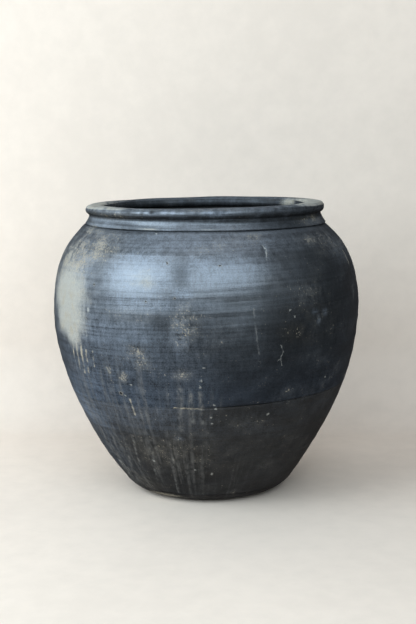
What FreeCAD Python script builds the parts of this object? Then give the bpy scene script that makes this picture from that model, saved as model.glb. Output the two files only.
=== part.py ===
import FreeCAD, Part
import math
import os

# Wide-mouthed storage pot of black clay, in millimetres and degrees.
# The origin is at the centre of the underside, and +Z is the pot's axis.
# The wall's outer surface is a chain of arcs, each tangent to the next. A lean is the wall's
# angle from upright: 90 lies flat on the floor, positive leans out and negative leans in.

# Foot, wall and shoulder
BASE_FLAT_RADIUS = 84.0
FLAT_LEAN = 90.0
WALL_CURVES = [  # radius of each arc, and the lean at its top
    (50.0, 38.4),  # rounded foot
    (515.0, 16.6),  # lower wall
    (272.0, -11.4),  # belly
    (113.0, -55.5),  # shoulder
]
WALL = 13.0
SLAB = 15.0
BELLY_JOINT_Z = 161.5

# Slip in the joints between the clay sections
SLIP = 1.0
SLIP_RECESS = 0.6

# Neck collar
BORE_RADIUS = 157.0
COLLAR_STEP = 1.0
COLLAR_HEIGHT = 13.0
COLLAR_HOLLOW = 0.7

# Rolled rim: flat on top, with both edges rolled over in the same round
RIM_HEIGHT = 14.0
RIM_ROLL = 7.2
RIM_OUTER_RADIUS = 174.1
RIM_INNER_RADIUS = 147.7

BEYOND = 400.0  # larger than any radius of the pot


def point(radius, height):
    """A point of an outline, in the half plane that turns about the pot's axis."""
    return FreeCAD.Vector(radius, 0, height)


def on_circle(centre, radius, angle):
    """The point at an angle from level, where 0 faces away from the pot's axis and 90 faces up."""
    turned = math.radians(angle)
    return point(centre.x + radius * math.cos(turned), centre.z + radius * math.sin(turned))


def line(start, end):
    return Part.LineSegment(start, end).toShape()


def turn(centre, radius, first, last):
    """An arc from one angle to another."""
    middle = (first + last) / 2
    ends = [on_circle(centre, radius, angle) for angle in (first, middle, last)]
    return Part.Arc(*ends).toShape()


def revolved(edges):
    """The solid that a closed outline sweeps in one turn about the pot's axis."""
    face = Part.Face(Part.Wire(edges))
    return face.revolve(FreeCAD.Vector(0, 0, 0), FreeCAD.Vector(0, 0, 1), 360)


def wall_arcs():
    """Centre, radius, first and last angle of each arc of the wall, from the floor up."""
    arcs = []
    start, lean = point(BASE_FLAT_RADIUS, 0), FLAT_LEAN
    for radius, top_lean in WALL_CURVES:
        centre = on_circle(start, -radius, -lean)
        arcs.append((centre, radius, -lean, -top_lean))
        start, lean = on_circle(centre, radius, -top_lean), top_lean
    return arcs


WALL_ARCS = wall_arcs()
SHOULDER_CENTRE, SHOULDER_RADIUS, _, SHOULDER_ANGLE = WALL_ARCS[-1]
SHOULDER_TOP = on_circle(SHOULDER_CENTRE, SHOULDER_RADIUS, SHOULDER_ANGLE)
SHOULDER_INSIDE = on_circle(SHOULDER_CENTRE, SHOULDER_RADIUS - WALL, SHOULDER_ANGLE)
COLLAR_Z = SHOULDER_TOP.z + SLIP
COLLAR_TOP_Z = COLLAR_Z + COLLAR_HEIGHT
RIM_Z = COLLAR_TOP_Z + SLIP
TOP_Z = RIM_Z + RIM_HEIGHT
RIM_ROLL_Z = TOP_Z - RIM_ROLL
RIM_FOOT_ANGLE = math.degrees(math.asin((RIM_Z - RIM_ROLL_Z) / RIM_ROLL))
OUTER_ROLL = point(RIM_OUTER_RADIUS - RIM_ROLL, RIM_ROLL_Z)
INNER_ROLL = point(RIM_INNER_RADIUS + RIM_ROLL, RIM_ROLL_Z)
NECK_RADIUS = on_circle(OUTER_ROLL, RIM_ROLL, RIM_FOOT_ANGLE).x


def outer_radius(height):
    """The radius of the wall's outer surface at a height."""
    for centre, radius, first, last in WALL_ARCS:
        if height <= on_circle(centre, radius, last).z:
            return centre.x + math.sqrt(radius**2 - (height - centre.z) ** 2)
    raise ValueError("the wall doesn't reach that height")


def disc(low, high, radius=BEYOND):
    return Part.makeCylinder(radius, high - low, FreeCAD.Vector(0, 0, low))


def body_shell():
    """Slab, wall and shoulder in one, to be divided at the joints."""
    axis_low, axis_high = point(0, 0), point(0, SHOULDER_TOP.z)
    form = revolved(
        [line(axis_low, point(BASE_FLAT_RADIUS, 0))]
        + [turn(*arc) for arc in WALL_ARCS]
        + [line(SHOULDER_TOP, axis_high), line(axis_high, axis_low)]
    )
    floor, throat = point(0, WALL), point(BORE_RADIUS, SHOULDER_TOP.z)
    hollow = revolved(
        [line(floor, point(BASE_FLAT_RADIUS, WALL))]
        + [turn(centre, radius - WALL, first, last) for centre, radius, first, last in WALL_ARCS]
        + [line(SHOULDER_INSIDE, throat), line(throat, axis_high), line(axis_high, floor)]
    )
    return form.cut(hollow.common(disc(SLAB, SHOULDER_TOP.z)))


def section(shell, low, high):
    """The part of the shell between two level joints."""
    return shell.common(disc(low, high))


def base_slab(shell):
    return section(shell, 0, SLAB)


def lower_wall(shell):
    return section(shell, SLAB + SLIP, BELLY_JOINT_Z)


def upper_wall(shell):
    return section(shell, BELLY_JOINT_Z + SLIP, SHOULDER_TOP.z)


def slip_in_wall(shell, low):
    """Slip in a joint of the wall, whose edge lies a little behind the outer surface."""
    return shell.common(disc(low, low + SLIP, outer_radius(low) - SLIP_RECESS))


def slip_in_neck(outer, low):
    """Slip in a joint of the neck, as a flat ring round the bore."""
    return disc(low, low + SLIP, outer - SLIP_RECESS).cut(disc(low, low + SLIP, BORE_RADIUS))


def neck_collar():
    """A band that narrows upwards in a slight hollow, from a foot proud of the shoulder."""
    foot_in, foot_out = point(BORE_RADIUS, COLLAR_Z), point(SHOULDER_TOP.x + COLLAR_STEP, COLLAR_Z)
    top_in, top_out = point(BORE_RADIUS, COLLAR_TOP_Z), point(NECK_RADIUS, COLLAR_TOP_Z)
    waist = point((foot_out.x + top_out.x) / 2 - COLLAR_HOLLOW, (COLLAR_Z + COLLAR_TOP_Z) / 2)
    hollow_side = Part.Arc(foot_out, waist, top_out).toShape()
    return revolved([line(foot_in, foot_out), hollow_side, line(top_out, top_in), line(top_in, foot_in)])


def rolled_rim():
    """The thick lip, which overhangs the collar outside and the bore inside."""
    foot_out = on_circle(OUTER_ROLL, RIM_ROLL, RIM_FOOT_ANGLE)
    foot_in = on_circle(INNER_ROLL, RIM_ROLL, 180 - RIM_FOOT_ANGLE)
    return revolved(
        [
            line(foot_in, foot_out),
            turn(OUTER_ROLL, RIM_ROLL, RIM_FOOT_ANGLE, 90),
            line(point(OUTER_ROLL.x, TOP_Z), point(INNER_ROLL.x, TOP_Z)),
            turn(INNER_ROLL, RIM_ROLL, 90, 180 - RIM_FOOT_ANGLE),
        ]
    )


def main():
    shell = body_shell()
    pieces = {
        "base_slab": base_slab(shell),
        "base_joint_slip": slip_in_wall(shell, SLAB),
        "lower_wall": lower_wall(shell),
        "belly_joint_slip": slip_in_wall(shell, BELLY_JOINT_Z),
        "upper_wall": upper_wall(shell),
        "collar_joint_slip": slip_in_neck(SHOULDER_TOP.x, SHOULDER_TOP.z),
        "neck_collar": neck_collar(),
        "rim_joint_slip": slip_in_neck(NECK_RADIUS, COLLAR_TOP_Z),
        "rolled_rim": rolled_rim(),
    }
    os.makedirs("parts", exist_ok=True)
    for name, shape in pieces.items():
        solid = shape.Solids[0]
        assert len(shape.Solids) == 1 and solid.isValid(), name
        solid.exportStep("parts/" + name + ".step")
        print("%-18s %10.0f mm3" % (name, solid.Volume))
    print("top at %.2f, shoulder top at %.2f" % (TOP_Z, SHOULDER_TOP.z))


main()
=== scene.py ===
import math

import bpy
import mathutils
import numpy as np
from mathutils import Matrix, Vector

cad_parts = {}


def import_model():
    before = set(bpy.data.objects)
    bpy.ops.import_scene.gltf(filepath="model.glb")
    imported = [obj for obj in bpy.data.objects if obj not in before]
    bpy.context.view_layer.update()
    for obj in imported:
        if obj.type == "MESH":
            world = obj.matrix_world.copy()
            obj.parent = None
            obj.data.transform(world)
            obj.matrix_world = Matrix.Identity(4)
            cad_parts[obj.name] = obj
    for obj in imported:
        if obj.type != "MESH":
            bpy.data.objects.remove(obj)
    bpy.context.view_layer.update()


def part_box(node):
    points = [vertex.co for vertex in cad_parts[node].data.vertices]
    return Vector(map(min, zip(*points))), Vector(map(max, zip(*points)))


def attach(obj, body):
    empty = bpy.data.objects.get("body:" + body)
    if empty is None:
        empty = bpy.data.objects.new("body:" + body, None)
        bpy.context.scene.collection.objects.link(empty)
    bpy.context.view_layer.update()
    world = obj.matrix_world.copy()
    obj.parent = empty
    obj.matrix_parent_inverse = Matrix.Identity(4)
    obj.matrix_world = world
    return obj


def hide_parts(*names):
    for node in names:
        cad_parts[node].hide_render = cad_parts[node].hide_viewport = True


# The looks of a wide-mouthed storage pot of smoke-blackened clay, in metres and degrees.
# Every piece is the mesh of one clay section. It turns about +Z, and -Y is the pot's front.
# A bearing is the angle round the pot: 0 is the front and 90 is the +X side.

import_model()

# ---------------------------------------------------------------- outline of the clay

FOOT_FLAT_RADIUS = 0.084
FLAT_LEAN = 90.0
WALL_CURVES = [  # radius of each arc and the wall's lean at its top, from the foot up
    (0.050, 38.4),
    (0.515, 16.6),
    (0.272, -11.4),
    (0.113, -60.0),
]
WALL = 0.013
SLIP_RECESS = 0.0006
BORE_RADIUS = 0.157
COLLAR_HOLLOW = 0.0007
RIM_ROLL = 0.0072
RIM_INNER_RADIUS = 0.1477

# ---------------------------------------------------------------- how the clay was worked

# The bands that the potter's hand left round the wall, by the height of each edge
BAND_EDGES = [
    0.018, 0.036, 0.056, 0.076, 0.097, 0.117, 0.139, 0.1615, 0.180, 0.203,
    0.228, 0.252, 0.273, 0.292, 0.3135, 0.3230, 0.337, 0.352, 0.366, 0.380, 0.3945,
]
BAND_FLATNESS = 0.75  # 1 / metre: a band's middle is wiped flat by this times its height squared
BAND_UNEVENNESS = 0.35
# The bands and joints aren't quite level: they rise by this much at bearing 90
TILT_HEIGHTS = [0.0, 0.1615, 0.300, 0.3945, 0.4230]
TILT_RISES = [0.0, 0.0065, 0.0085, 0.0011, 0.0032]
# Where the joint below the belly shows: bearing and half width in degrees, and how plainly
SEAM_STRETCHES = [(18, 31, 1.0), (150, 34, 0.8), (-125, 18, 0.6)]

# The pot isn't quite true: its foot is fuller to one side, and its rim sits a little to the other.
# The swells and the flare are shares of the radius, and the sway is in metres.
FOOT_SWELL, FOOT_SWELL_HEIGHT = 0.040, 0.045
SIDE_SWELL, SIDE_SWELL_TOP = 0.016, 0.24
SWELL_BEARING, SWELL_HALF_WIDTH = 85, 50
NECK_FLARE = 0.020
SHOULDER_FLARE_FROM, SHOULDER_FLARE_OVER = 0.379, 0.015
COLLAR_FLARE, COLLAR_FLARE_FROM, COLLAR_FLARE_OVER = 0.84, 0.394, 0.012
RIM_SWAY, RIM_SWAY_FROM, RIM_SWAY_OVER = -0.0023, 0.385, 0.028

# How deep the marks are that the work left, in metres, and what else shapes them
DENT_DEPTH = 0.00045
WIPE_DEPTH = 0.00006
SPIRAL_DEPTH, SPIRAL_PITCH = 0.0006, 0.018
INSIDE_DENT_DEPTH = 0.0004
JOINT_EDGE_DEPTH, JOINT_EDGE_HEIGHT = 0.0010, 0.0011
SLIP_DEPTH_OPEN, SLIP_DEPTH_WIPED = 0.0009, 0.00005
SLIP_UNEVENNESS = 0.0003
COLLAR_WIPE_DEPTH, COLLAR_BORE_WIPE = 0.00022, 0.5  # the bore has this share of it
COLLAR_DENT_DEPTH = 0.0003
COLLAR_WEAR_DEPTH, COLLAR_WEAR_HEIGHT = 0.0005, 0.0015
RIM_LUMP_DEPTH = 0.0004
RIM_WIPE_DEPTH = 0.00012
RIM_NICK_DEPTH, RIM_NICK_RARITY = 0.0009, 0.9
UNDERSIDE_HOLLOW, UNDERSIDE_HOLLOW_SPAN = 0.0012, 0.9
UNDERSIDE_DRAG = 0.0004
FLOOR_SWIRL, FLOOR_SWIRL_PITCH = 0.0007, 0.022
FLOOR_SUNK = 0.0008

# Random fields: seed, number of waves, the fewest and most times that a wave goes round the pot,
# and the shortest and longest wave up the wall
BAND_WAVES = (5, 9, (1, 5), (0.05, 0.20))
DENT_WAVES = (11, 14, (2, 8), (0.07, 0.25))
WIPE_WAVES = (17, 22, (1, 6), (0.006, 0.016))
INSIDE_WAVES = (23, 12, (2, 9), (0.03, 0.12))
UNDERSIDE_WAVES = (31, 16, (1, 4), (0.006, 0.03))
COLLAR_WIPE_WAVES = (41, 18, (1, 9), (0.005, 0.02))
COLLAR_DENT_WAVES = (43, 8, (2, 6), (0.05, 0.2))
COLLAR_WEAR_WAVES = (47, 14, (6, 30), (0.05, 0.2))
SLIP_WAVES = (53, 12, (5, 24), (0.02, 0.1))
RIM_LUMP_WAVES = (61, 14, (2, 11), (0.05, 0.3))
RIM_WIPE_WAVES = (67, 20, (1, 8), (0.003, 0.009))
RIM_NICK_WAVES = (71, 18, (12, 60), (0.01, 0.05))
RIM_STAIN_WAVES = (73, 44, (8, 90), (0.006, 0.03))
WIDE_WAVES = (101, 12, (1, 4), (0.15, 0.6))
PATCHY_WAVES = (103, 16, (2, 9), (0.06, 0.3))
SPOTTY_WAVES = (107, 20, (4, 22), (0.03, 0.12))
TIDE_WAVES = (109, 12, (2, 14), (1, 2))

STEPS = 420  # mesh columns round the pot
ROW = 0.0016  # height of a mesh row on the outside
INNER_ROW = 0.0050
SLAB_ROW = 0.0012
ARC_STEPS = 160  # points on each arc of the wall's outline
SHARP_ANGLE = 50  # degrees: the least turn between two faces that shows as an edge
CENTRE_ROW_RADIUS = 0.002  # radius of the rows next to the axis, on the underside and the floor
JOINT_ROWS = [0, 0.12, 0.28, 0.5, 0.75, 1.0]  # shares of the stretch by a joint that has finer rows
JOINT_STRETCH = 0.004


def share(value):
    """The value held between 0 and 1."""
    return np.clip(value, 0, 1)


def waves(turn, height, seed, count, turns, lengths):
    """A smooth random field, mostly within -1 to 1, that closes up round the pot."""
    rng = np.random.default_rng(seed)
    total = 0.0
    for _ in range(count):
        around = rng.integers(turns[0], turns[1] + 1)
        length = math.exp(rng.uniform(math.log(lengths[0]), math.log(lengths[1])))
        climb = rng.choice([-1.0, 1.0]) * 2 * math.pi / length
        total = total + np.cos(around * turn + climb * height + rng.uniform(0, 2 * math.pi))
    return total / math.sqrt(2.0 * count)


def wall_profile():
    """Radius, height and lean of the wall's outer surface, from the foot to above the shoulder."""
    radius, height, lean = FOOT_FLAT_RADIUS, 0.0, FLAT_LEAN
    radii, heights, leans = [], [], []
    for curve, top_lean in WALL_CURVES:
        angles = np.linspace(lean, top_lean, ARC_STEPS)
        facing = -np.radians(angles)
        across = radius - curve * math.cos(facing[0])
        up = height - curve * math.sin(facing[0])
        radii.append(across + curve * np.cos(facing))
        heights.append(up + curve * np.sin(facing))
        leans.append(angles)
        radius, height, lean = radii[-1][-1], heights[-1][-1], top_lean
    return np.concatenate(radii), np.concatenate(heights), np.concatenate(leans)


PROFILE_R, PROFILE_Z, PROFILE_LEAN = wall_profile()
INSIDE_R = PROFILE_R - WALL * np.cos(np.radians(PROFILE_LEAN))
INSIDE_Z = PROFILE_Z + WALL * np.sin(np.radians(PROFILE_LEAN))


def outer_radius(height):
    return np.interp(height, PROFILE_Z, PROFILE_R)


def inner_radius(height):
    return np.interp(height, INSIDE_Z, INSIDE_R)


def lean_at(height):
    return np.radians(np.interp(height, PROFILE_Z, PROFILE_LEAN))


def rise(level, turn):
    """How far the band or joint of a level rises above it at each bearing."""
    return np.interp(level, TILT_HEIGHTS, TILT_RISES) * np.sin(turn)


def bell(value, centre, width):
    return np.exp(-(((value - centre) / width) ** 2))


def bearing_gap(turn, degrees):
    """The angle from a bearing, from -pi to pi."""
    gap = turn - math.radians(degrees)
    return (gap + math.pi) % (2 * math.pi) - math.pi


def seam_open(turn):
    """How open the joint below the belly is: 0 where it was wiped over, 1 at most."""
    shown = 0.0
    for degrees, half_width, plainly in SEAM_STRETCHES:
        shown = shown + plainly * bell(bearing_gap(turn, degrees), 0, math.radians(half_width))
    return share(1.6 * shown - 0.25)


def swell(turn, level):
    """The share by which the pot is fuller than its outline: to one side, and at the neck."""
    foot = FOOT_SWELL * np.exp(-((level / FOOT_SWELL_HEIGHT) ** 2))
    side = SIDE_SWELL * share(1 - level / SIDE_SWELL_TOP)
    toward = bell(bearing_gap(turn, SWELL_BEARING), 0, math.radians(SWELL_HALF_WIDTH))
    below = share((level - SHOULDER_FLARE_FROM) / SHOULDER_FLARE_OVER) ** 2
    above = COLLAR_FLARE * share(1 - (level - COLLAR_FLARE_FROM) / COLLAR_FLARE_OVER)
    return (foot + side) * toward + NECK_FLARE * np.minimum(below, above)


def sway(level):
    """How far each level sits to the side of the pot's axis."""
    return RIM_SWAY * share((level - RIM_SWAY_FROM) / RIM_SWAY_OVER)


def outside_relief(turn, level):
    """How far the worked outer surface stands off its plain outline."""
    edges = np.array(BAND_EDGES)
    index = np.clip(np.searchsorted(edges, level) - 1, 0, len(edges) - 2)
    width = edges[index + 1] - edges[index]
    along = share((level - edges[index]) / width)
    strength = 1.0 + BAND_UNEVENNESS * waves(turn, level, *BAND_WAVES)
    bands = -BAND_FLATNESS * width**2 * strength * 4 * along * (1 - along)
    dents = DENT_DEPTH * waves(turn, level, *DENT_WAVES)
    wiped = WIPE_DEPTH * waves(turn, level, *WIPE_WAVES)
    chips = marked(turn, level, outer_radius(level), CHIPS)
    return bands + dents + wiped - chips


def inside_relief(turn, level):
    """The spiral ridge and the dents that the fingers left inside."""
    spiral = np.cos(2 * math.pi * level / SPIRAL_PITCH - turn)
    return SPIRAL_DEPTH * spiral + INSIDE_DENT_DEPTH * waves(turn, level, *INSIDE_WAVES)


# ---------------------------------------------------------------- stains and painted light

# Each broad mark is a bearing in degrees, the height of its middle, its half width and half
# height in metres, and its strength
LIME_AND_HIGHLIGHTS = [
    (-60, 0.304, 0.056, 0.040, 1.00),
    (-58, 0.274, 0.047, 0.036, 1.00),
    (-55.5, 0.249, 0.024, 0.022, 0.85),
    (-64, 0.335, 0.034, 0.024, 0.50),
    # painted highlight: a whiter spot in the core of the first window highlight
    (-21.5, 0.333, 0.024, 0.015, 0.38),
    (-67, 0.352, 0.030, 0.028, 0.42),
    (120, 0.4175, 0.022, 0.009, 0.72),
    # painted highlights: thin pale lines where the collar's foot catches the light
    (-26, 0.3955, 0.018, 0.0012, 0.66),
    (2, 0.3960, 0.018, 0.0010, 0.50),
]
# Pale film. Some of these marks are painted highlights on the shoulder, and one is painted light by
# the left edge low down
FILM_AND_HIGHLIGHTS = [
    (-44, 0.240, 0.170, 0.090, 0.62),
    (-80, 0.320, 0.050, 0.080, 0.70),
    # partly painted light: a paler patch by the left edge, over real pale streaks
    (-64, 0.110, 0.070, 0.090, 1.30),
    (-40, 0.165, 0.140, 0.060, 0.54),
    (-14, 0.215, 0.070, 0.100, 0.42),
    # painted highlight: the first window highlight
    (-24, 0.342, 0.066, 0.036, 0.80),
    # painted highlight: the first window highlight reaching further up and left
    (-56, 0.335, 0.050, 0.055, 0.90),
    # painted highlights: the tops of both window highlights
    (-26, 0.359, 0.050, 0.013, 0.90),
    (-2, 0.357, 0.030, 0.013, 0.85),
    (-8, 0.317, 0.018, 0.012, 0.80),
    (-38, 0.255, 0.080, 0.040, 0.85),
    (62, 0.402, 0.050, 0.008, 0.90),
    (-9, 0.262, 0.018, 0.036, 0.75),
    (-30, 0.262, 0.090, 0.028, 0.70),
    (-52, 0.185, 0.060, 0.060, 0.80),
    (68, 0.368, 0.050, 0.028, 0.60),
    # painted highlight: the core of the first window highlight
    (-21, 0.337, 0.028, 0.017, 1.00),
    (-24, 0.303, 0.100, 0.014, 0.75),
    # painted highlight: the second window highlight
    (4, 0.350, 0.085, 0.032, 0.62),
    (34, 0.340, 0.050, 0.030, 0.20),
    (40.5, 0.287, 0.006, 0.004, 1.10),
    (45.8, 0.284, 0.005, 0.006, 1.10),
    (42.5, 0.275, 0.004, 0.007, 1.10),
    # painted highlight along the top of the shoulder
    (-12, 0.381, 0.280, 0.018, 0.62),
    (50, 0.385, 0.140, 0.012, 0.40),
    (-15, 0.4235, 0.150, 0.0035, 0.75),
    (-60, 0.398, 0.060, 0.008, 0.90),
    (-25, 0.414, 0.070, 0.006, 0.35),
    (5, 0.4165, 0.020, 0.006, 1.20),
    (30, 0.4200, 0.020, 0.004, 0.70),
    (75, 0.4265, 0.060, 0.004, 0.90),
    (180, 0.4190, 0.300, 0.006, 0.60),
    (48, 0.397, 0.080, 0.003, 0.40),
    (-11.5, 0.114, 0.008, 0.004, 0.90),
]
DUST = [
    (-60, 0.350, 0.054, 0.030, 1.10),
    (-47, 0.370, 0.042, 0.020, 1.00),
    (-80, 0.335, 0.040, 0.045, 0.80),
    (-24.5, 0.239, 0.013, 0.009, 0.90),
    (-22, 0.223, 0.012, 0.011, 0.75),
    (-37, 0.210, 0.007, 0.007, 0.85),
    (-31, 0.200, 0.007, 0.009, 0.85),
    (-8, 0.211, 0.014, 0.010, 0.55),
    (-6.8, 0.276, 0.017, 0.030, 0.85),
    (62, 0.374, 0.050, 0.018, 0.60),
    (-26, 0.285, 0.040, 0.012, 0.35),
    (50, 0.379, 0.030, 0.008, 0.70),
    (20, 0.386, 0.012, 0.006, 0.75),
    (40, 0.275, 0.060, 0.040, 0.18),
    (-20, 0.090, 0.080, 0.030, 0.30),
    (-34, 0.0090, 0.034, 0.004, 1.60),
    (-48, 0.0300, 0.040, 0.022, 0.40),
    (-62, 0.387, 0.034, 0.009, 0.90),
    (62, 0.403, 0.040, 0.007, 0.80),
    (-10, 0.424, 0.120, 0.004, 0.60),
    (-50, 0.413, 0.050, 0.008, 0.55),
]
# Soot, and painted shade: the marks under the lip, on the right side away from the lights, and
# between the two window highlights are painted shade
SOOT_AND_SHADE = [
    (-15.5, 0.276, 0.018, 0.012, 0.65),
    # painted shade: a dark gap between the two window highlights
    (-8.8, 0.342, 0.014, 0.020, 0.50),
    (-36, 0.290, 0.022, 0.020, 0.30),
    # painted shade: the marks at bearings 46 and 31 darken the right side, away from the lights
    (46, 0.310, 0.070, 0.090, 0.75),
    (31, 0.272, 0.055, 0.055, 0.90),
    (23, 0.262, 0.030, 0.025, 0.50),
    (16, 0.150, 0.060, 0.022, 0.60),
    # painted shade: these three darken the collar's right side and the clay under the lip
    (40, 0.401, 0.060, 0.008, 0.85),
    (42, 0.413, 0.110, 0.007, 1.00),
    (-60, 0.412, 0.080, 0.004, 0.80),
]
RUNS = [
    (-38, 0.160, 0.120, 0.060, 1.05),
    (-36, 0.070, 0.120, 0.060, 0.95),
    (-62, 0.085, 0.065, 0.090, 1.90),
    (2, 0.050, 0.060, 0.040, 0.55),
    (-5, 0.160, 0.036, 0.030, 1.15),
]
CHIPS = [  # here the strength is a depth in metres
    (-58, 0.060, 0.012, 0.007, 0.0012),
    (-50, 0.036, 0.006, 0.005, 0.0009),
    (-33.3, 0.176, 0.0035, 0.0025, 0.0010),
    (23, 0.369, 0.0035, 0.009, 0.0007),
    (43, 0.280, 0.010, 0.009, 0.0005),
]
MARK_SHARPNESS = 1.4
# The marks in the lists lie within this many degrees of this bearing, and chance places the rest
FRONT_BEARING, FRONT_HALF = -5.0, 72.0
FRONT_FADE = 0.35  # radians over which chance takes over

# Small marks on a flat map of the wall. Spots are bearing, height, half width and half height.
SPECKS = [
    (-45.1, 0.287, 0.0022, 0.0038),
    (-21.5, 0.390, 0.0016, 0.0012),
    (3.7, 0.161, 0.0018, 0.0015),
    (1.9, 0.148, 0.0014, 0.0012),
    (3.0, 0.167, 0.0020, 0.0014),
    (2.4, 0.139, 0.0018, 0.0013),
    (24.8, 0.149, 0.0028, 0.0017),
    (-26.7, 0.073, 0.0024, 0.0018),
    (-5.7, 0.063, 0.0022, 0.0018),
    (3.1, 0.056, 0.0026, 0.0018),
    (29.5, 0.292, 0.0018, 0.0018),
    (31.5, 0.283, 0.0014, 0.0014),
    (50.4, 0.190, 0.0018, 0.0016),
    (-0.6, 0.220, 0.0022, 0.0012),
    (-1.7, 0.202, 0.0020, 0.0020),
    (-2.1, 0.193, 0.0014, 0.0026),
    (-28.0, 0.1905, 0.0018, 0.0012),
    (-31.5, 0.1735, 0.0018, 0.0012),
]
PITS = [
    (-33.3, 0.176, 0.0020, 0.0018),
    (-20.5, 0.305, 0.0009, 0.0009),
    (-10.5, 0.311, 0.0012, 0.0010),
    (5.0, 0.352, 0.0014, 0.0008),
    (-43.0, 0.322, 0.0012, 0.0010),
    (-14.0, 0.355, 0.0010, 0.0009),
]
# Strokes are the bearing and height of one end and of the other, and the half width
DRIPS = [  # tan lines that ran down from the lime
    (-56.4, 0.240, -56.6, 0.2110, 0.0018),
    (-53.6, 0.238, -54.0, 0.2010, 0.0018),
    (-50.6, 0.236, -51.0, 0.1970, 0.0019),
    (-47.8, 0.230, -48.2, 0.1985, 0.0016),
    (-44.0, 0.230, -44.3, 0.2090, 0.0012),
    (-12.0, 0.1618, 0.5, 0.1610, 0.0009),
    (-29.8, 0.168, -29.2, 0.1460, 0.0014),
    (-38.3, 0.213, -36.6, 0.2050, 0.0018),
]
STREAKS = [  # wide soft lines of film below the seam and beside the foot
    (-9.4, 0.188, -10.2, 0.1300, 0.0042),
    (-5.6, 0.182, -5.2, 0.1420, 0.0036),
    (-2.0, 0.184, -1.4, 0.1400, 0.0034),
    (-43.0, 0.074, -51.0, 0.0200, 0.0030),
    (-25.1, 0.108, -29.6, 0.0380, 0.0026),
    (-48.0, 0.100, -58.0, 0.0300, 0.0030),
    (-34.0, 0.110, -40.0, 0.0250, 0.0028),
    (-16.0, 0.080, -18.5, 0.0200, 0.0026),
    (16.1, 0.297, 17.2, 0.2560, 0.0011),
    (17.2, 0.256, 18.2, 0.2360, 0.0008),
]
SCRATCHES = [  # thin pale lines, a curved nick and a branching crack
    (22.6, 0.3765, 23.7, 0.3700, 0.0009),
    (23.7, 0.3700, 22.6, 0.3580, 0.0010),
    (26.1, 0.2470, 27.3, 0.2371, 0.0008),
    (27.3, 0.2371, 26.3, 0.2290, 0.0009),
    (26.3, 0.2290, 27.3, 0.2190, 0.0007),
    (26.3, 0.2290, 25.2, 0.2250, 0.0005),
    (-60.3, 0.0570, -53.0, 0.0505, 0.0011),
    (-53.0, 0.0505, -50.2, 0.0350, 0.0010),
]
MAP_RADIUS = 0.21  # radius that the flat map is drawn at
CHANCE_LOWEST, CHANCE_HIGHEST = 0.03, 0.385


def chance(seed, count, widths, drop):
    """Small marks at random places outside the front: strokes down the wall by up to drop, or
    spots where drop is 0."""
    rng = np.random.default_rng(seed)
    made = []
    for _ in range(count):
        past_front = rng.uniform(0, 360 - 2 * FRONT_HALF)
        bearing = (FRONT_BEARING + FRONT_HALF + past_front + 180) % 360 - 180
        height = rng.uniform(CHANCE_LOWEST + drop, CHANCE_HIGHEST)
        width = rng.uniform(*widths)
        if drop:
            end_bearing = bearing + rng.uniform(-3, 3)
            end_height = height - rng.uniform(0.3, 1) * drop
            made.append((bearing, height, end_bearing, end_height, width))
        else:
            made.append((bearing, height, width, width * rng.uniform(0.6, 1.4)))
    return made


SPECKS += chance(211, 16, (0.0012, 0.0028), 0)
DRIPS += chance(223, 7, (0.0008, 0.0015), 0.030)
STREAKS += chance(227, 8, (0.0025, 0.0045), 0.060)
SCRATCHES += chance(229, 7, (0.0006, 0.0011), 0.040)
PITS += chance(233, 5, (0.0008, 0.0016), 0)


def marked(turn, height, radius, marks):
    """The strongest of the marks at each point, soft at its edge."""
    total = 0.0 * turn * height
    for degrees, middle, half_width, half_height, strength in marks:
        across = bearing_gap(turn, degrees) * radius / half_width
        along = (height - middle) / half_height
        mark = strength * np.exp(-((across**2 + along**2) ** MARK_SHARPNESS))
        total = np.maximum(total, mark)
    return total


TIDE_HEIGHT, TIDE_WANDER, TIDE_OVER = 0.1165, 0.0035, 0.012
TIDE_BELOW, TIDE_ABOVE = 0.42, 0.58  # what is left of the film below the line, and what is added
TIDE_RIM, TIDE_RIM_HEIGHT = 0.35, 0.0016


def tide(turn, height):
    """How much of the film is left: it thins out below an uneven line above the foot."""
    line = TIDE_HEIGHT + TIDE_WANDER * waves(turn, 0, *TIDE_WAVES)
    film_and_highlight = TIDE_BELOW + TIDE_ABOVE * share((height - line) / TIDE_OVER)
    return film_and_highlight + TIDE_RIM * bell(height, line, TIDE_RIM_HEIGHT)


def stains(turn, height, radius):
    """How much of each stain, painted highlight and painted shade lies at each point: placed marks
    at the front, chance at the back.
    """
    away = np.abs(bearing_gap(turn, FRONT_BEARING)) - math.radians(FRONT_HALF)
    behind = share(away / FRONT_FADE)
    wide = waves(turn, height, *WIDE_WAVES)
    patchy = waves(turn, height, *PATCHY_WAVES)
    spotty = waves(turn, height, *SPOTTY_WAVES)
    below_neck = height < COLLAR_FLARE_FROM
    lime_and_highlight = behind * np.clip(0.9 * patchy + 0.9 * spotty - 1.20, 0, 0.48) * below_neck
    film_and_highlight = share(0.30 + 0.15 * patchy + 0.16 * spotty) * share(0.35 + behind)
    dust = share(0.30 * spotty + 0.25 * patchy - 0.05) * share(0.5 + behind)
    soot_and_shade = share(0.4 - 0.3 * wide) * share(0.3 + behind)
    runs = share(0.2 + 0.4 * wide) * share(0.25 + behind) * share((0.30 - height) / 0.1)
    # painted highlight: film that makes the top of the shoulder paler all round
    shoulder_highlight = 0.45 * share((height - 0.355) / 0.03)
    film_and_highlight = np.maximum(np.maximum(film_and_highlight, shoulder_highlight), marked(turn, height, radius, FILM_AND_HIGHLIGHTS))
    return {
        "lime_and_highlight": np.maximum(lime_and_highlight, marked(turn, height, radius, LIME_AND_HIGHLIGHTS)),
        "film_and_highlight": film_and_highlight * tide(turn, height),
        "dust": np.maximum(dust, marked(turn, height, radius, DUST)),
        "soot_and_shade": np.maximum(soot_and_shade, marked(turn, height, radius, SOOT_AND_SHADE)),
        "runs": np.maximum(runs, marked(turn, height, radius, RUNS)),
    }


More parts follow.
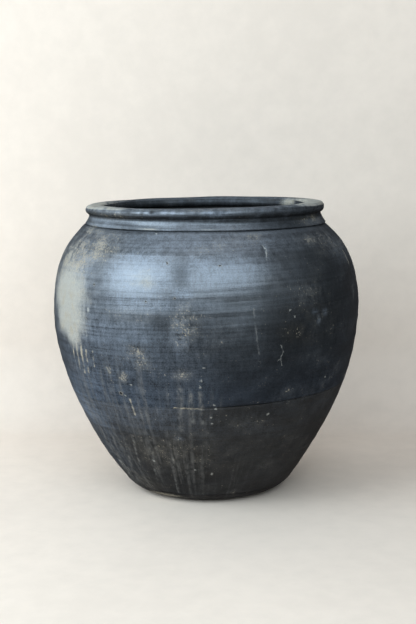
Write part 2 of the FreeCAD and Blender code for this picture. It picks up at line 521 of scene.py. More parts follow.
# ---------------------------------------------------------------- meshes


def turns_row():
    return np.linspace(0, 2 * math.pi, STEPS, endpoint=False)[None, :]


def faces_of(rows, columns, closed):
    """Quads between neighbouring rows, and from the last row to the first where it is closed."""
    row = np.arange(rows if closed else rows - 1)[:, None]
    column = np.arange(columns)[None, :]
    here = row * columns + column
    beside = row * columns + (column + 1) % columns
    above = here + columns
    above_beside = beside + columns
    total = rows * columns
    quads = np.stack([here, beside, above_beside % total, above % total], axis=-1)
    return quads.reshape(-1, 4)


def add_attribute(mesh, name, values):
    attribute = mesh.attributes.new(name, "FLOAT", "POINT")
    attribute.data.foreach_set("value", np.asarray(values, np.float32).ravel())


def smooth_mesh(name, points, faces):
    mesh = bpy.data.meshes.new(name)
    mesh.from_pydata(points, [], faces)
    mesh.polygons.foreach_set("use_smooth", [True] * len(mesh.polygons))
    return mesh


def placed(name, data):
    """A new object with this data, in the scene."""
    made = bpy.data.objects.new(name, data)
    bpy.context.scene.collection.objects.link(made)
    return made


def turned_piece(name, radius, height, turn, fields, closed=True):
    """A mesh object from rows of points, each row once round the pot from the front.
    An outline that isn't closed starts and ends with a point on the axis."""
    rows, columns = radius.shape
    level = np.broadcast_to(fields["level"], radius.shape)
    marks = stains(turn, height, radius)
    for key, values in fields.items():
        marks[key] = np.maximum(marks[key], values) if key in marks else values
    full = radius * (1 + swell(turn, level))
    points = np.stack([full * np.sin(turn) + sway(level), -full * np.cos(turn), height], axis=-1)
    points = points.reshape(-1, 3)
    faces = [tuple(face) for face in faces_of(rows, columns, closed).tolist()]
    if not closed:
        ends = [points[:columns].mean(axis=0), points[-columns:].mean(axis=0)]
        first, last = rows * columns, rows * columns + 1
        points = np.concatenate([points, ends])
        top = (rows - 1) * columns
        for i in range(columns):
            j = (i + 1) % columns
            faces.append((first, j, i))
            faces.append((last, top + i, top + j))
    mesh = smooth_mesh(name, points.tolist(), faces)
    for key, values in marks.items():
        values = np.broadcast_to(values, radius.shape).ravel()
        if not closed:
            values = np.concatenate([values, [values[0], values[-1]]])
        add_attribute(mesh, key, values)
    mesh.set_sharp_from_angle(angle=math.radians(SHARP_ANGLE))
    mesh.update()
    return placed(name, mesh)


def spaced(low, high, step):
    """Levels from low to high, closer together near both ends, where the joint's edges are."""
    edge = min(JOINT_STRETCH, 0.3 * (high - low))
    fine = np.array(JOINT_ROWS) * edge
    middle = np.linspace(low + edge, high - edge, max(2, round((high - low - 2 * edge) / step)))
    return np.concatenate([low + fine[:-1], middle, (high - fine[:-1])[::-1]])


def through_wall(height, depth):
    """The plain radius at a share of the way through the wall from its outer surface."""
    outer = outer_radius(height)
    return outer + (inner_radius(height) - outer) * depth


def wall_section(node, open_low, open_high):
    """A ring of the wall between two joints, worked outside and inside."""
    low, high = (corner.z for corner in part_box(node))
    turn = turns_row()
    outside = spaced(low, high, ROW)
    inside = spaced(low, high, INNER_ROW)[::-1]
    across = np.linspace(0, 1, 4)[1:-1]
    depth = np.concatenate([0 * outside, across, 1 + 0 * inside, across[::-1]])[:, None]
    level = np.concatenate([outside, high + 0 * across, inside, low + 0 * across])[:, None]
    height = level + rise(level, turn)
    lean = lean_at(height)
    joints = 0.0
    for end, opening in ((low, open_low), (high, open_high)):
        near = np.exp(-np.abs(level - end) / JOINT_EDGE_HEIGHT)
        joints = joints - JOINT_EDGE_DEPTH * opening(turn) * near
    out = (1 - depth) * (outside_relief(turn, level) + joints)
    out = out + depth * inside_relief(turn, level)
    radius = through_wall(height, depth) + out * np.cos(lean)
    height = height - out * np.sin(lean)
    fields = {"level": level, "inside": depth}
    return turned_piece(node + "_clay", radius, height, turn, fields)


def wall_slip(node, opening):
    """The slip in a joint of the wall: nearly flush where it was wiped over, sunk where open."""
    low, high = (corner.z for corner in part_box(node))
    turn = turns_row()
    middle = (low + high) / 2
    level = np.array([low, middle, high, high, high, middle, low, low])[:, None]
    depth = np.array([0, 0, 0, 0.5, 1, 1, 1, 0.5])[:, None]
    height = level + rise(level, turn)
    sunk = -SLIP_DEPTH_OPEN * opening(turn) - SLIP_DEPTH_WIPED
    out = (1 - depth) * (outside_relief(turn, level) + sunk) + depth * inside_relief(turn, level)
    radius = through_wall(height, depth) + out * np.cos(lean_at(height))
    fields = {"level": level, "inside": depth}
    return turned_piece(node + "_clay", radius, height, turn, fields)


def never(turn):
    """How open a joint is that was wiped over all the way round."""
    return 0.0 * turn


def always(turn):
    """How open a joint is that shows all the way round."""
    return 1.0 + 0.0 * turn


# ---------------------------------------------------------------- the five sections and their slip


def base_slab():
    """The disc of clay that closes the bottom, a little hollow and rough underneath."""
    low, high = 0.0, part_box("base_slab")[1].z
    turn = turns_row()
    under = np.linspace(CENTRE_ROW_RADIUS, FOOT_FLAT_RADIUS, 60)
    side = spaced(low, high, SLAB_ROW)[1:]
    top = np.linspace(outer_radius(high), CENTRE_ROW_RADIUS, 50)[1:]
    level = np.concatenate([0 * under, side, high + 0 * top])[:, None]
    plain = np.concatenate([under, outer_radius(side), top])[:, None]
    is_under = np.concatenate([1 + 0 * under, 0 * side, 0 * top])[:, None]
    is_top = np.concatenate([0 * under, 0 * side, 1 + 0 * top])[:, None]
    is_side = 1 - is_under - is_top
    # The working fades out at the edge that stands on the floor and under the wall
    from_edge = share((FOOT_FLAT_RADIUS - plain) / 0.01)
    bare = share((inner_radius(high) - plain) / 0.01)
    hollow_radius = UNDERSIDE_HOLLOW_SPAN * FOOT_FLAT_RADIUS
    hollow = UNDERSIDE_HOLLOW * share(1 - (plain / hollow_radius) ** 4)
    drag = UNDERSIDE_DRAG * (1 + waves(turn, plain, *UNDERSIDE_WAVES))
    swirl = FLOOR_SWIRL * np.cos(2 * math.pi * plain / FLOOR_SWIRL_PITCH - turn)
    swirl = swirl * share(plain / 0.02)
    radius = plain + is_side * outside_relief(turn, level) * share(level / 0.004)
    height = level + is_under * (hollow + drag * from_edge)
    height = height + is_top * swirl * bare - is_top * FLOOR_SUNK * bare
    fields = {"level": level, "inside": is_top}
    return turned_piece("base_slab_clay", radius, height, turn, fields, closed=False)


def collar_outline(foot_z, top_z, foot_radius, neck_radius):
    """Outer foot to outer top along the hollow side, over the top, and down the bore."""
    outside = np.linspace(0, 1, 22)
    sunk = 4 * COLLAR_HOLLOW * outside * (1 - outside)
    side = foot_radius + (neck_radius - foot_radius) * outside - sunk
    inside = np.linspace(1, 0, 8)
    across = np.array([0.33, 0.66])
    radius = np.concatenate([
        side,
        neck_radius + (BORE_RADIUS - neck_radius) * across,
        BORE_RADIUS + 0 * inside,
        foot_radius + (BORE_RADIUS - foot_radius) * across[::-1],
    ])
    level = np.concatenate([
        foot_z + (top_z - foot_z) * outside,
        top_z + 0 * across,
        foot_z + (top_z - foot_z) * inside,
        foot_z + 0 * across,
    ])
    depth = np.concatenate([0 * outside, across, 1 + 0 * inside, across[::-1]])
    return radius[:, None], level[:, None], depth[:, None]


# Painted shade on the collar under the lip: how far above the foot it starts, how far it takes to
# come in, how much lower it comes at the right, and where the right is
COLLAR_SHADE_FROM, COLLAR_SHADE_OVER = 0.0095, 0.0045
COLLAR_SHADE_DROP = 0.0055  # how much further down the painted shade comes at the right
COLLAR_SHADE_BEARING, COLLAR_SHADE_HALF_WIDTH = 45, 0.9


def neck_collar():
    """The slightly hollow band between the shoulder and the lip, with painted shade below the lip.
    """
    low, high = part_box("neck_collar")
    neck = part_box("rim_joint_slip")[1].x + SLIP_RECESS
    turn = turns_row()
    plain, level, depth = collar_outline(low.z, high.z, high.x, neck)
    wiped = COLLAR_WIPE_DEPTH * waves(turn, level, *COLLAR_WIPE_WAVES)
    soft = COLLAR_DENT_DEPTH * waves(turn, level, *COLLAR_DENT_WAVES)
    foot_wear = -COLLAR_WEAR_DEPTH * share(waves(turn, level, *COLLAR_WEAR_WAVES))
    foot_wear = foot_wear * np.exp(-(level - low.z) / COLLAR_WEAR_HEIGHT)
    worked = (1 - depth) * (wiped + soft + foot_wear) + depth * COLLAR_BORE_WIPE * wiped
    height = level + rise(level, turn) * plain / high.x
    # painted shade under the lip, starting lower toward the right
    to_right = bell(bearing_gap(turn, COLLAR_SHADE_BEARING), 0, COLLAR_SHADE_HALF_WIDTH)
    clean = COLLAR_SHADE_FROM - COLLAR_SHADE_DROP * to_right
    under_lip_shade = (1 - depth) * share((level - low.z - clean) / COLLAR_SHADE_OVER)
    fields = {"level": level, "inside": depth, "soot_and_shade": under_lip_shade + 0 * turn}
    return turned_piece("neck_collar_clay", plain + worked, height, turn, fields)


def neck_slip(node):
    """The slip below or above the collar, a plain ring with an uneven outer face."""
    low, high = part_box(node)
    turn = turns_row()
    plain = np.array([high.x, high.x, BORE_RADIUS, BORE_RADIUS])[:, None]
    level = np.array([low.z, high.z, high.z, low.z])[:, None]
    depth = np.array([0, 0, 1, 1])[:, None]
    uneven = SLIP_UNEVENNESS * waves(turn, level, *SLIP_WAVES)
    height = level + rise(level, turn) * plain / high.x
    fields = {"level": level, "inside": depth}
    return turned_piece(node + "_clay", plain + (1 - depth) * uneven, height, turn, fields)


def rim_outline(low, high):
    """Radius, level and the way each row faces: up the outer roll, across the land, and down
    the inner roll to the underside."""
    roll_z = high.z - RIM_ROLL
    outer_centre = high.x - RIM_ROLL
    inner_centre = RIM_INNER_RADIUS + RIM_ROLL
    foot = math.asin((low.z - roll_z) / RIM_ROLL)
    outer = np.linspace(foot, math.pi / 2, 30)
    inner = np.linspace(math.pi / 2, math.pi - foot, 30)
    land = np.linspace(outer_centre, inner_centre, 12)[1:-1]
    reach = RIM_ROLL * math.cos(foot)
    below = np.linspace(inner_centre - reach, outer_centre + reach, 10)[1:-1]
    plain = np.concatenate([
        outer_centre + RIM_ROLL * np.cos(outer),
        land,
        inner_centre + RIM_ROLL * np.cos(inner),
        below,
    ])
    level = np.concatenate([
        roll_z + RIM_ROLL * np.sin(outer),
        high.z + 0 * land,
        roll_z + RIM_ROLL * np.sin(inner),
        low.z + 0 * below,
    ])
    facing = np.concatenate([outer, math.pi / 2 + 0 * land, inner, -math.pi / 2 + 0 * below])
    return plain[:, None], level[:, None], facing[:, None]


def rim_stains_and_shade(turn, facing, mottled):
    """Painted shade below the lip and down its inner roll, mottled soot and film on its face, and
    pale film over the up-facing land with lime on it, the most at both sides.
    """
    # under and within are painted shade: below the lip and down its inner roll
    under = np.clip(0.25 - np.sin(facing), 0, 0.7) / 0.7
    within = 0.85 * share((facing - math.radians(118)) / 0.5)
    sides = bell(bearing_gap(turn, -78), 0, 0.75) + 1.3 * bell(bearing_gap(turn, 82), 0, 0.6)
    sides = np.minimum(sides, 1)
    on_top = share((np.sin(facing) - 0.72 + 0.35 * sides) / 0.2)
    face_soot = np.clip(0.34 - 0.42 * mottled, 0, 0.9) * (1 - 0.9 * on_top)
    face_film = share(0.2 + 0.5 * mottled) * (1 - under)
    return {
        "soot_and_shade": np.maximum(np.maximum(under, within), face_soot),
        "film_and_highlight": np.maximum(face_film, on_top * (0.8 + 0.3 * mottled)),
        "lime_and_highlight": on_top * np.clip(0.95 + 0.45 * mottled, 0, 1.2) * sides,
    }


def rolled_rim():
    """The thick lip: a level land between two rolled edges."""
    low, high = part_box("rolled_rim")
    plain, level, facing = rim_outline(low, high)
    turn = turns_row()
    above_joint = share((level - low.z) / 0.003)
    lumps = RIM_LUMP_DEPTH * waves(turn, plain, *RIM_LUMP_WAVES)
    wiped = RIM_WIPE_DEPTH * waves(turn, plain + level, *RIM_WIPE_WAVES)
    nicks = share(waves(turn, plain + level, *RIM_NICK_WAVES) - RIM_NICK_RARITY)
    edge = np.maximum(bell(facing, math.radians(35), 0.4), bell(facing, math.radians(125), 0.4))
    out = above_joint * (lumps + wiped - RIM_NICK_DEPTH * nicks * edge)
    radius = plain + out * np.cos(facing)
    height = level + out * np.sin(facing) + rise(level, turn) * plain / high.x
    mottled = waves(turn, plain + level, *RIM_STAIN_WAVES)
    fields = {"level": level, "inside": 0 * level, **rim_stains_and_shade(turn, facing, mottled)}
    return turned_piece("rolled_rim_clay", radius, height, turn, fields)


# ---------------------------------------------------------------- materials


FAR = 9.0  # half widths: further than any small mark reaches


def map_x(bearing):
    return math.radians(bearing) * MAP_RADIUS


class Nodes:
    """One material's node tree, built by short calls that return sockets."""

    def __init__(self, name):
        self.material = bpy.data.materials.new(name)
        self.material.use_nodes = True
        self.tree = self.material.node_tree
        self.tree.nodes.clear()
        self.point = self.add("TexCoord").outputs["Object"]

    def add(self, kind, inputs=None, **settings):
        node = self.tree.nodes.new("ShaderNode" + kind)
        for key, value in settings.items():
            setattr(node, key, value)
        for key, value in (inputs or {}).items():
            if isinstance(value, bpy.types.NodeSocket):
                self.tree.links.new(value, node.inputs[key])
            else:
                node.inputs[key].default_value = value
        return node

    def math(self, operation, *values, clamp=False):
        inputs = dict(enumerate(values))
        return self.add("Math", inputs, operation=operation, use_clamp=clamp).outputs[0]

    def vector(self, operation, *values):
        return self.add("VectorMath", dict(enumerate(values)), operation=operation).outputs

    def step(self, value, low, high):
        """0 below low and 1 above high, smooth between."""
        inputs = {"Value": value, "From Min": low, "From Max": high}
        return self.add("MapRange", inputs, interpolation_type="SMOOTHSTEP").outputs[0]

    def mix(self, factor, first, second):
        inputs = {0: factor, 6: first, 7: second}
        return self.add("Mix", inputs, data_type="RGBA").outputs[2]

    def blend(self, factor, first, second):
        return self.add("Mix", {0: factor, 2: first, 3: second}, data_type="FLOAT").outputs[0]

    def noise(self, vector, scale, detail=3.0, roughness=0.55, distortion=0.0):
        inputs = {
            "Vector": vector, "Scale": scale, "Detail": detail,
            "Roughness": roughness, "Distortion": distortion,
        }
        return self.add("TexNoise", inputs).outputs["Fac"]

    def attribute(self, name):
        return self.add("Attribute", attribute_name=name).outputs["Fac"]

    def fold(self, operation, first, *rest):
        """One value from several, taken two at a time."""
        total = first
        for value in rest:
            total = self.math(operation, total, value)
        return total

    def product(self, *values):
        return self.fold("MULTIPLY", *values)

    def sum(self, *values):
        return self.fold("ADD", *values)

    def most(self, *values):
        return self.fold("MAXIMUM", *values)

    def nearest(self, *distances):
        return self.fold("MINIMUM", FAR, *distances)

    def weighted(self, *pairs):
        """The sum of several values, each times its weight."""
        return self.sum(*[self.product(value, weight) for value, weight in pairs])

    def without(self, value):
        return self.math("SUBTRACT", 1.0, value)

    def flat_map(self, wander):
        """Each point's place round the pot and its height, in metres, shaken a little by noise."""
        split = self.add("SeparateXYZ", {0: self.point}).outputs
        turn = self.math("ARCTAN2", split[0], self.math("MULTIPLY", split[1], -1.0))
        place = self.add("CombineXYZ", {0: self.product(turn, MAP_RADIUS), 1: split[2]}).outputs[0]
        inputs = {"Vector": self.point, "Scale": RAGGED_SCALE, "Detail": 2.0}
        ragged = self.add("TexNoise", inputs).outputs["Color"]
        moved = self.vector("SUBTRACT", ragged, (0.5, 0.5, 0.5))[0]
        moved = self.vector("MULTIPLY", moved, (wander, wander, 0.0))[0]
        return self.vector("ADD", place, moved)[0]

    def spots(self, place, marks):
        """How far each point of the map is from the nearest spot: 0 in it, and 1 at its edge."""
        far = []
        for bearing, height, half_width, half_height in marks:
            scale = (1 / half_width, 1 / half_height, 0.0)
            shift = (-map_x(bearing) / half_width, -height / half_height, 0.0)
            inputs = {0: place, 1: scale, 2: shift}
            moved = self.add("VectorMath", inputs, operation="MULTIPLY_ADD").outputs[0]
            far.append(self.vector("LENGTH", moved)[1])
        return self.nearest(*far)

    def strokes(self, place, marks):
        """How far each point of the map is from the nearest straight stroke, by its half width."""
        far = []
        for bearing, height, end_bearing, end_height, half_width in marks:
            start = np.array([map_x(bearing), height, 0.0])
            run = np.array([map_x(end_bearing), end_height, 0.0]) - start
            unit = run / (run @ run)
            along = self.vector("DOT_PRODUCT", place, tuple(unit))[1]
            along = self.math("SUBTRACT", along, float(start @ unit), clamp=True)
            inputs = {0: tuple(run), 1: along, 2: tuple(start)}
            on_stroke = self.add("VectorMath", inputs, operation="MULTIPLY_ADD").outputs[0]
            away = self.vector("DISTANCE", place, on_stroke)[1]
            far.append(self.math("DIVIDE", away, half_width))
        return self.nearest(*far)


def colour(red, green, blue):
    return (red, green, blue, 1.0)


# the colour of lime, specks and scratches, and of some painted highlights
LIME_AND_HIGHLIGHT_COLOUR = colour(0.40, 0.41, 0.39)
# the colour of the pale film, and of the painted highlights made with it
FILM_AND_HIGHLIGHT_COLOUR = colour(0.182, 0.241, 0.338)
TAN_COLOUR = colour(0.40, 0.38, 0.32)
DUST_COLOUR = colour(0.36, 0.33, 0.27)
RUN_COLOUR = colour(0.150, 0.152, 0.152)
# the colour of soot and of painted shade under and within the lip, on the right and between the
# highlights; the pits are coloured with it too
SOOT_AND_SHADE_COLOUR = colour(0.007, 0.007, 0.007)
# painted shade: the inside of the pot is coloured darker
INSIDE_SHADE_COLOUR = colour(0.010, 0.011, 0.012)
SHEEN_COLOUR = (0.91, 1.0, 1.11)

# The body of each material, dark and pale
SLATE = (colour(0.010, 0.013, 0.018), colour(0.0225, 0.030, 0.044))
CHARCOAL = (colour(0.018, 0.0175, 0.0175), colour(0.042, 0.041, 0.041))
SLIP = (colour(0.010, 0.009, 0.008), colour(0.022, 0.020, 0.018))
CLAY_SHEEN, SLIP_SHEEN = 0.22, 0.05
BURNISH_FROM, BURNISH_FULL = 0.16, 0.345  # heights between which the sheen comes in
SPECULAR_LEVEL = 0.25

# How fine each noise is, per metre, or along each axis
WIPED_SCALE = (5.0, 5.0, 330.0)
COARSE_SCALE = (3.0, 3.0, 70.0)
RUN_SCALE_ROUND, RUN_SCALE_UP = (24.0, 24.0, 0.0), (0.0, 0.0, 7.0)
UPRIGHT_STRETCH, UPRIGHT_SCALE = (1.0, 1.0, 0.35), 190.0
CLOUD_SCALE, MOTTLE_SCALE, FLECK_SCALE, GRAIN_SCALE = 9.0, 60.0, 420.0, 560.0
RAGGED_SCALE, RAGGED_REACH = 330.0, 0.0042
BUMP_DISTANCE = 0.0005

# Heights between which a material shows the small marks, besides the height of the seam
MARKS_TOP, MARKS_PAST_SEAM = 0.40, 0.006
SLIP_MARKS = (0.155, 0.168)


def nearby(marks, low, high):
    """The spots with their middle, and the strokes with an end, between two heights."""
    return [m for m in marks if low < m[1] < high or (len(m) == 5 and low < m[3] < high)]


def clay_noises(n, level, x, y):
    """The noises that the clay is made of. The first two follow the tilt of the bands."""
    banded = n.add("CombineXYZ", {0: x, 1: y, 2: level}).outputs[0]
    wiped = n.noise(n.vector("MULTIPLY", banded, WIPED_SCALE)[0], 1.0, 4.0, 0.62)
    coarse = n.noise(n.vector("MULTIPLY", banded, COARSE_SCALE)[0], 1.0, 2.0, 0.5)
    around = n.vector("NORMALIZE", n.add("CombineXYZ", {0: x, 1: y}).outputs[0])[0]
    around = n.vector("MULTIPLY", around, RUN_SCALE_ROUND)[0]
    run_at = n.vector("ADD", around, n.vector("MULTIPLY", n.point, RUN_SCALE_UP)[0])[0]
    run = n.noise(run_at, 1.0, 5.0, 0.65, 0.15)
    upright_at = n.vector("MULTIPLY", n.point, UPRIGHT_STRETCH)[0]
    upright = n.noise(upright_at, UPRIGHT_SCALE, 3.0, 0.6)
    cloud = n.noise(n.point, CLOUD_SCALE, 3.0, 0.5)
    mottle = n.noise(n.point, MOTTLE_SCALE, 5.0, 0.62)
    fleck = n.noise(n.point, FLECK_SCALE, 3.0, 0.65)
    grain = n.noise(n.point, GRAIN_SCALE, 2.0, 0.6)
    return wiped, coarse, run, upright, cloud, mottle, fleck, grain


def small_marks(n, mottle, upright, low, high):
    """How plainly the small marks between two heights show: specks, pits and their pale edges,
    drips, streaks and scratches."""
    place = n.flat_map(RAGGED_REACH)
    speck = n.step(n.spots(place, nearby(SPECKS, low, high)), 1.3, 0.4)
    pits = n.spots(place, nearby(PITS, low, high))
    pit = n.step(pits, 1.2, 0.6)
    pit_edge = n.product(n.step(pits, 2.4, 1.3), n.without(pit), 0.5)
    drip = n.step(n.strokes(place, nearby(DRIPS, low, high)), 1.5, 0.4)
    drip = n.product(drip, n.step(mottle, 0.36, 0.60))
    streak = n.step(n.strokes(place, nearby(STREAKS, low, high)), 1.7, 0.0)
    streak = n.product(streak, n.step(upright, 0.36, 0.66), n.step(mottle, 0.28, 0.52), 0.8)
    scratch = n.step(n.strokes(place, nearby(SCRATCHES, low, high)), 1.5, 0.3)
    scratch = n.product(scratch, n.step(mottle, 0.38, 0.58), 0.58)
    return speck, pit, pit_edge, drip, streak, scratch


def clay(name, body, sheen, low, high):
    """Smoke-blackened clay: a matt body, a burnished sheen, and stains, painted shade and painted
    highlights over both.
    Of the small marks it takes those between two heights."""
    n = Nodes(name)
    level, inside = n.attribute("level"), n.attribute("inside")
    outside = n.without(inside)
    x, y, up = n.add("SeparateXYZ", {0: n.point}).outputs
    wiped, coarse, run, upright, cloud, mottle, fleck, grain = clay_noises(n, level, x, y)
    speck, pit, pit_edge, drip, streak, scratch = small_marks(n, mottle, upright, low, high)

    patches, speckle = n.step(cloud, 0.3, 0.7), n.step(mottle, 0.35, 0.65)
    tone = n.weighted((patches, 0.40), (speckle, 0.35), (n.step(grain, 0.3, 0.7), 0.25))
    soot_and_shade = n.product(n.attribute("soot_and_shade"), n.blend(n.step(mottle, 0.25, 0.6), 0.6, 1.0))

    veil = n.weighted(
        (n.step(wiped, 0.34, 0.64), 0.32),
        (n.step(upright, 0.34, 0.66), 0.30),
        (speckle, 0.12),
        (n.step(grain, 0.38, 0.62), 0.36),
    )
    film_and_highlight = n.product(n.attribute("film_and_highlight"), veil, outside, n.without(n.product(soot_and_shade, 0.85)))
    runs = n.product(n.attribute("runs"), n.step(run, 0.46, 0.66), n.step(upright, 0.25, 0.65))
    runs = n.product(n.most(n.product(runs, 0.62), streak), outside)

    lime_and_highlight_at = n.weighted((n.attribute("lime_and_highlight"), 1.0), (mottle, 0.55), (fleck, 0.40), (upright, 0.25))
    lime_grain = n.blend(n.step(fleck, 0.35, 0.65), 0.82, 1.0)
    lime_and_highlight = n.product(n.step(lime_and_highlight_at, 0.74, 1.48), lime_grain, outside)
    lime_and_highlight_colour = n.mix(n.step(mottle, 0.45, 0.70), LIME_AND_HIGHLIGHT_COLOUR, TAN_COLOUR)

    dusty = n.attribute("dust")
    haze = n.product(dusty, n.step(mottle, 0.28, 0.68), n.step(upright, 0.2, 0.6), 0.32)
    dust_at = n.weighted((dusty, 0.15), (fleck, 0.65), (mottle, 0.35))
    dust_specks = n.product(n.step(dust_at, 0.625, 0.70), 0.75)
    dust = n.most(haze, dust_specks, n.product(pit_edge, 0.6), n.product(drip, 0.95))

    # Each layer is how much it covers, and its colour; the soot, film, lime and inside layers also
    # carry painted shade and painted highlights
    colours = n.mix(tone, *body)
    for cover, tint in [
        (n.product(soot_and_shade, 0.9), SOOT_AND_SHADE_COLOUR),
        (n.product(film_and_highlight, 0.72), FILM_AND_HIGHLIGHT_COLOUR),
        (runs, RUN_COLOUR),
        (dust, DUST_COLOUR),
        (n.product(lime_and_highlight, 0.92), lime_and_highlight_colour),
        (n.most(n.product(speck, 0.55), scratch), LIME_AND_HIGHLIGHT_COLOUR),
        # painted shade over the inside of the pot
        (n.product(inside, 0.8), INSIDE_SHADE_COLOUR),
        (pit, SOOT_AND_SHADE_COLOUR),
    ]:
        colours = n.mix(cover, colours, tint)

    # The sheen is added to the matt colour, and Metallic is its share of the two
    polish = n.weighted(
        (tone, 0.40),
        (n.step(upright, 0.3, 0.7), 0.10),
        (n.step(wiped, 0.34, 0.64), 0.14),
    )
    burnish = n.product(n.step(up, BURNISH_FROM, BURNISH_FULL), n.sum(polish, 0.38), sheen)
    burnish = n.product(burnish, outside, n.without(lime_and_highlight), n.without(dust), n.without(pit))
    burnish = n.product(burnish, n.without(n.product(soot_and_shade, 0.96)))
    scaled = n.add("VectorMath", {0: SHEEN_COLOUR, "Scale": burnish}, operation="SCALE").outputs[0]
    matt = n.add("RGBToBW", {0: colours}).outputs[0]

    rough = n.sum(n.weighted((mottle, 0.22), (wiped, 0.14)), 0.15)
    covered = n.most(n.product(film_and_highlight, 0.5), runs, dust, lime_and_highlight, n.most(inside, soot_and_shade))
    height = n.weighted(
        (wiped, 0.28),
        (coarse, 0.5),
        (mottle, 0.30),
        (grain, 0.20),
        (n.most(lime_and_highlight, dust), 0.15),
        (n.most(speck, scratch), 0.4),
        (pit, -1.5),
    )
    bump = n.add("Bump", {"Height": height, "Strength": 1.0, "Distance": BUMP_DISTANCE})
    shader = n.add("BsdfPrincipled", {
        "Base Color": n.vector("ADD", colours, scaled)[0],
        "Metallic": n.math("DIVIDE", burnish, n.math("ADD", burnish, matt)),
        "Roughness": n.blend(covered, rough, 0.75),
        "Normal": bump.outputs[0],
        "Specular IOR Level": SPECULAR_LEVEL,
    })
    n.add("OutputMaterial", {"Surface": shader.outputs[0]})
    return n.material


# ---------------------------------------------------------------- stage, light and camera

CAMERA_PLACE = (0.0027, -1.616, 0.508)
CAMERA_PITCH = 8.73
CAMERA_LENS, CAMERA_SENSOR = 63.29, 36.0
LIGHTS_AIM = (0.0, 0.0, 0.33)
LIGHTS_DISTANCE = 2.2
WINDOW_TINT = (0.87, 0.97, 1.0)
CEILING_TINT = (0.95, 0.98, 1.0)

ROOM_TINT = (1.0, 0.93, 0.89)
ROOM_LIGHT = 0.05  # how bright the room is as a light
ROOM_SEEN = 0.72  # and where the camera sees it
PLASTER_TINT = (0.88, 0.79, 0.72)
PLASTER_SHADE = 0.93
PLASTER_PATCH_SCALE, PLASTER_FIBRE_SCALE = 2.2, 34.0
SWEEP_LEFT, SWEEP_RIGHT, SWEEP_FRONT, SWEEP_TOP = -2.5, 0.62, -5.0, 2.6
WALL_BEHIND = 0.40
COVE_RADIUS = 0.15
# The camera sees the stage fade out between these distances from the pot, and toward the right
STAGE_FADE = (1.05, 1.80)
RIGHT_FADE = (0.42, 0.62)


def stage_material(name, tint):
    n = Nodes(name)
    patches = n.noise(n.point, PLASTER_PATCH_SCALE, 4.0, 0.55)
    fibres = n.noise(n.point, PLASTER_FIBRE_SCALE, 5.0, 0.6)
    shade = n.step(n.weighted((patches, 0.6), (fibres, 0.4)), 0.35, 0.65)
    base = n.mix(shade, colour(*(PLASTER_SHADE * c for c in tint)), colour(*tint))
    bump = n.add("Bump", {"Height": fibres, "Strength": 0.3, "Distance": 0.001}).outputs[0]
    surface = {"Base Color": base, "Roughness": 0.9, "Normal": bump}
    shader = n.add("BsdfPrincipled", surface).outputs[0]
    clear = n.add("BsdfTransparent").outputs[0]
    back = n.add("NewGeometry").outputs["Backfacing"]
    away = n.step(n.vector("LENGTH", n.point)[1], *STAGE_FADE)
    right = n.step(n.add("SeparateXYZ", {0: n.point}).outputs[0], *RIGHT_FADE)
    seen = n.add("LightPath").outputs["Is Camera Ray"]
    faded = n.product(n.most(away, right), seen)
    shown = n.add("MixShader", {0: n.most(back, faded), 1: shader, 2: clear}).outputs[0]
    n.add("OutputMaterial", {"Surface": shown})
    return n.material


def sweep():
    """A pale floor that curves up into a pale wall behind the pot, and is clear from its back."""
    cove = np.radians(np.linspace(0, 90, 17))
    cove_ys = WALL_BEHIND - COVE_RADIUS + COVE_RADIUS * np.sin(cove)
    cove_zs = COVE_RADIUS - COVE_RADIUS * np.cos(cove)
    ys = [SWEEP_FRONT, *cove_ys, WALL_BEHIND]
    zs = [0.0, *cove_zs, SWEEP_TOP]
    points = [(x, y, z) for y, z in zip(ys, zs) for x in (SWEEP_LEFT, SWEEP_RIGHT)]
    faces = [(2 * i, 2 * i + 1, 2 * i + 3, 2 * i + 2) for i in range(len(ys) - 1)]
    mesh = smooth_mesh("sweep", points, faces)
    mesh.materials.append(stage_material("pale_plaster", PLASTER_TINT))
    backdrop = placed("sweep", mesh)
    backdrop.visible_glossy = False


def window(name, bearing, elevation, width, height, power, tint):
    """A soft rectangular light that faces the pot from a bearing and an elevation in degrees."""
    turn, up = math.radians(bearing), math.radians(elevation)
    away = np.array([math.sin(turn) * math.cos(up), -math.cos(turn) * math.cos(up), math.sin(up)])
    data = bpy.data.lights.new(name, "AREA")
    data.shape, data.size, data.size_y = "RECTANGLE", width, height
    data.energy, data.color = power, tint
    light = placed(name, data)
    light.location = np.array(LIGHTS_AIM) + LIGHTS_DISTANCE * away
    light.rotation_mode = "QUATERNION"
    light.rotation_quaternion = mathutils.Vector(-away).to_track_quat("-Z", "Y")
    light.visible_camera = False


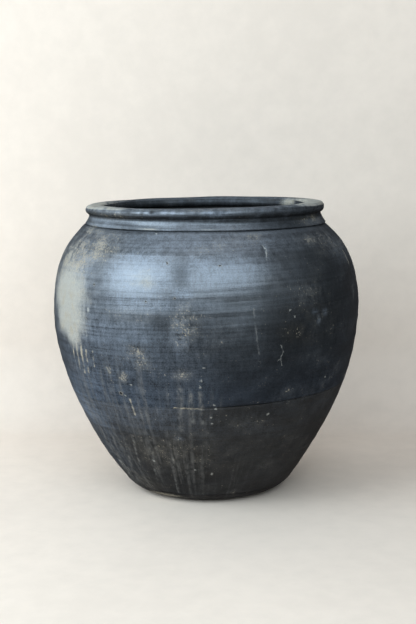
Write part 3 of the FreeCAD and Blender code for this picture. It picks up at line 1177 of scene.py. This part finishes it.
def world():
    """A plain room that the camera sees brighter than it lights the pot."""
    made = bpy.data.worlds.new("room")
    made.use_nodes = True
    tree = made.node_tree
    tree.nodes.clear()
    path = tree.nodes.new("ShaderNodeLightPath")
    mix = tree.nodes.new("ShaderNodeMixShader")
    tree.links.new(path.outputs["Is Camera Ray"], mix.inputs[0])
    for slot, strength in ((1, ROOM_LIGHT), (2, ROOM_SEEN)):
        room = tree.nodes.new("ShaderNodeBackground")
        room.inputs["Color"].default_value = colour(*ROOM_TINT)
        room.inputs["Strength"].default_value = strength
        tree.links.new(room.outputs[0], mix.inputs[slot])
    output = tree.nodes.new("ShaderNodeOutputWorld")
    tree.links.new(mix.outputs[0], output.inputs["Surface"])
    bpy.context.scene.world = made


def camera():
    data = bpy.data.cameras.new("camera")
    data.lens, data.sensor_width = CAMERA_LENS, CAMERA_SENSOR
    made = placed("camera", data)
    made.location = CAMERA_PLACE
    made.rotation_euler = (math.radians(90 - CAMERA_PITCH), 0, 0)
    bpy.context.scene.camera = made


# ---------------------------------------------------------------- the whole pot


def put(piece, node, material):
    piece.data.materials.append(material)
    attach(piece, "root")
    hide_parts(node)


def build():
    """The nine pieces of the pot, each in place of its CAD node."""
    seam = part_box("belly_joint_slip")[0].z
    slate = clay("slate_clay", SLATE, CLAY_SHEEN, seam, MARKS_TOP)
    dark = clay("dark_clay", CHARCOAL, CLAY_SHEEN, 0, seam + MARKS_PAST_SEAM)
    slip = clay("joint_slip", SLIP, SLIP_SHEEN, *SLIP_MARKS)
    put(base_slab(), "base_slab", dark)
    put(wall_section("lower_wall", never, seam_open), "lower_wall", dark)
    put(wall_section("upper_wall", seam_open, always), "upper_wall", slate)
    put(wall_slip("base_joint_slip", never), "base_joint_slip", slip)
    put(wall_slip("belly_joint_slip", seam_open), "belly_joint_slip", slip)
    put(neck_slip("collar_joint_slip"), "collar_joint_slip", slip)
    put(neck_collar(), "neck_collar", slate)
    put(neck_slip("rim_joint_slip"), "rim_joint_slip", slip)
    put(rolled_rim(), "rolled_rim", slate)


build()
sweep()
world()
window("left_window", -55, 25, 1.6, 1.7, 44, WINDOW_TINT)
window("front_window", 11, 27, 2.2, 1.5, 29, WINDOW_TINT)
window("left_edge_window", -108, 12, 1.0, 1.6, 9, WINDOW_TINT)
window("ceiling_light", 0, 80, 2.4, 2.0, 10, CEILING_TINT)
camera()
bpy.context.scene.view_settings.view_transform = "Standard"
